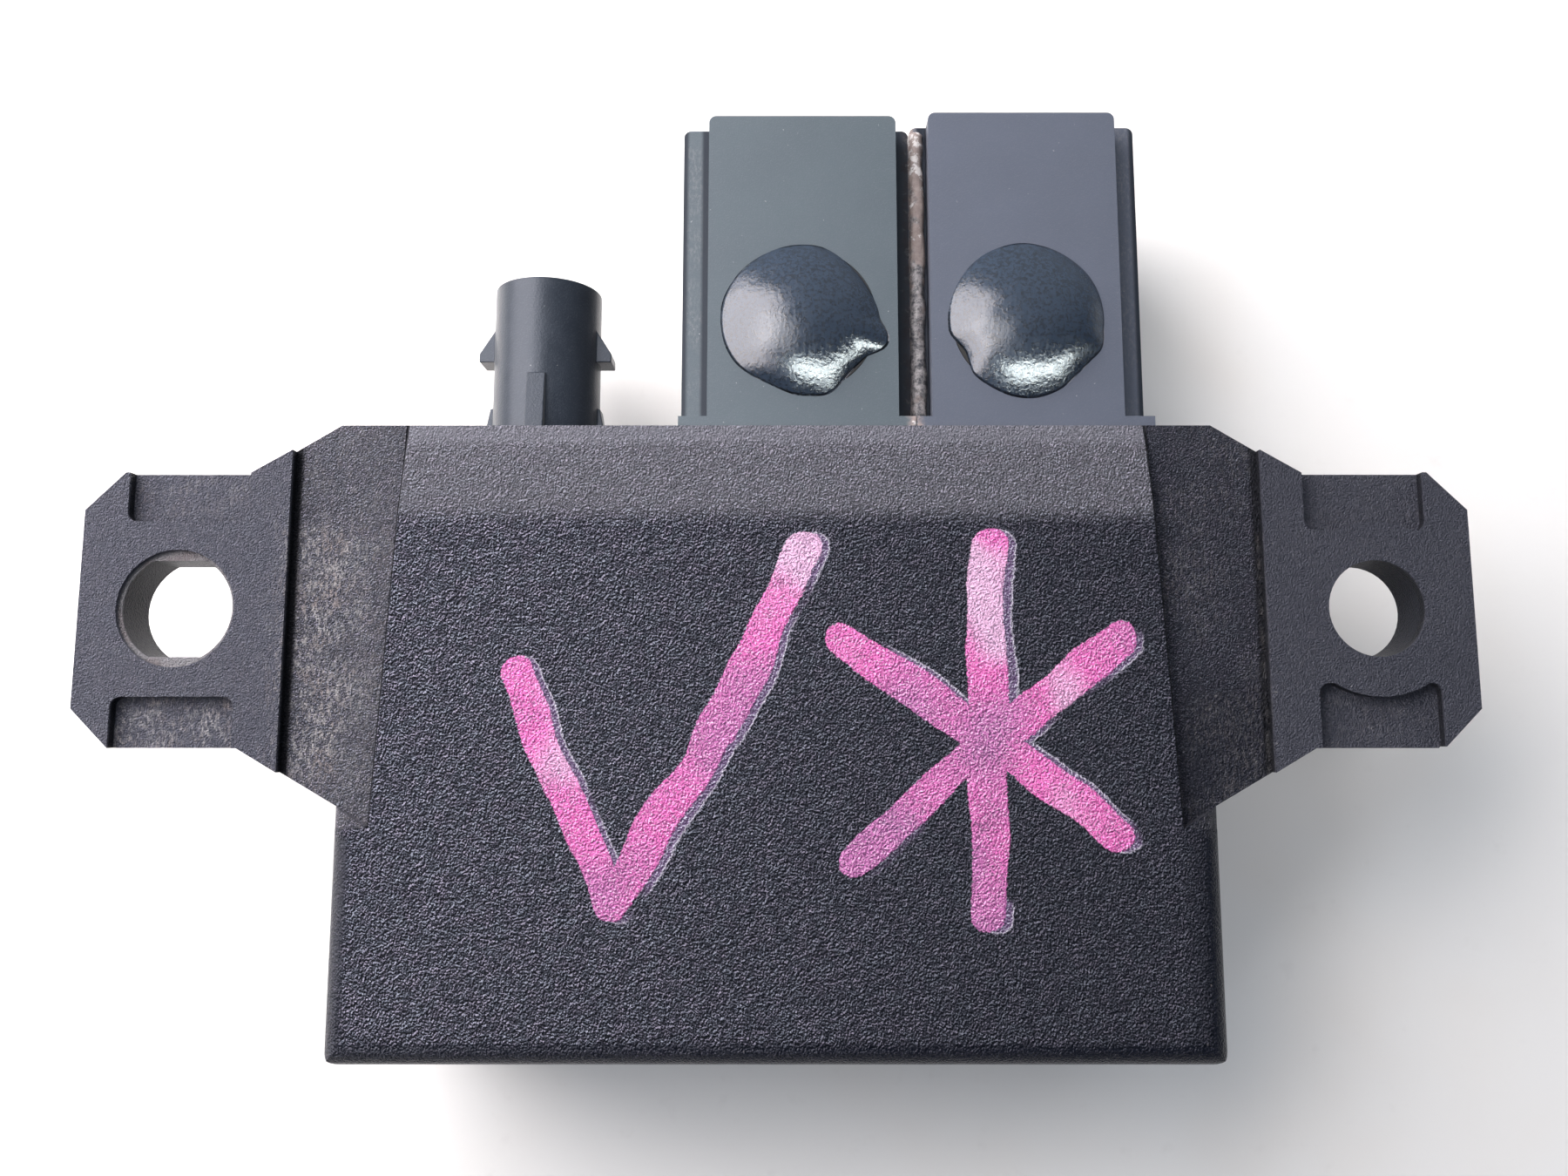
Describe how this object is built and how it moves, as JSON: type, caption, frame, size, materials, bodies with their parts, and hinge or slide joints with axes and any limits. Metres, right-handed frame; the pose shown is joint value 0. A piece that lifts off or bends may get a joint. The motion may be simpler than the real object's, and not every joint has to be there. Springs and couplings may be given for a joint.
{
  "type": "ultrasonic distance sensor",
  "caption": "Sealed ultrasonic distance sensor module with flat mounting ears, sealed transducer towers and a round plug socket.",
  "frame": {"origin": "on the rear face, midway between the two mounting holes and on the line through them", "axes": "+X along the line of the mounting holes, towards the round hole; +Y towards the towers and the connector; +Z the sensing direction, out of the front face"},
  "size_m": [0.144, 0.1013, 0.0283],
  "materials": {
    "grained_plastic": "grained charcoal",
    "cover_plastic": "fine matt charcoal",
    "tower_plastic": "smooth satin charcoal",
    "connector_plastic": "smooth satin blue-black",
    "sealant": "glossy black, wrinkled",
    "seal_rubber": "matt",
    "gland_rubber": "matt red-brown",
    "foam": "soft matt",
    "potting": "cast",
    "can_aluminium": "turned",
    "piezo": "silvered brass",
    "lead_insulation": "extruded",
    "pin_brass": "tinned",
    "screw_steel": "zinc plated",
    "board_laminate": "solder-masked laminate",
    "chip_plastic": "moulded",
    "ferrite": "sintered ferrite",
    "capacitor_sleeve": "sleeved",
    "crystal_case": "bright can",
    "chip_ceramic": "ceramic with tinned ends"
  },
  "bodies": {
    "root": {"front_housing": "grained_plastic", "rear_cover": "cover_plastic", "cover_seal": "seal_rubber", "cover_screws": "screw_steel", "left_tower": "tower_plastic", "right_tower": "tower_plastic", "left_tower_gasket": "seal_rubber", "right_tower_gasket": "seal_rubber", "left_sealant_dome": "sealant", "right_sealant_dome": "sealant", "left_transducer_can": "can_aluminium", "right_transducer_can": "can_aluminium", "left_rubber_ring": "seal_rubber", "right_rubber_ring": "seal_rubber", "left_piezo_disc": "piezo", "right_piezo_disc": "piezo", "left_damping_foam": "foam", "right_damping_foam": "foam", "left_terminal_disc": "board_laminate", "right_terminal_disc": "board_laminate", "left_can_potting": "potting", "right_can_potting": "potting", "left_support_pad": "foam", "right_support_pad": "foam", "left_leads": "lead_insulation", "right_leads": "lead_insulation", "connector_shroud": "connector_plastic", "connector_seal": "gland_rubber", "connector_pins": "pin_brass", "circuit_board": "board_laminate", "board_screws": "screw_steel", "microcontroller": "chip_plastic", "drive_transformers": "ferrite", "electrolytic_capacitors": "capacitor_sleeve", "voltage_regulator": "chip_plastic", "echo_amplifiers": "chip_plastic", "bus_transceiver": "chip_plastic", "crystal": "crystal_case", "chip_parts": "chip_ceramic"}
  },
  "joints": []
}
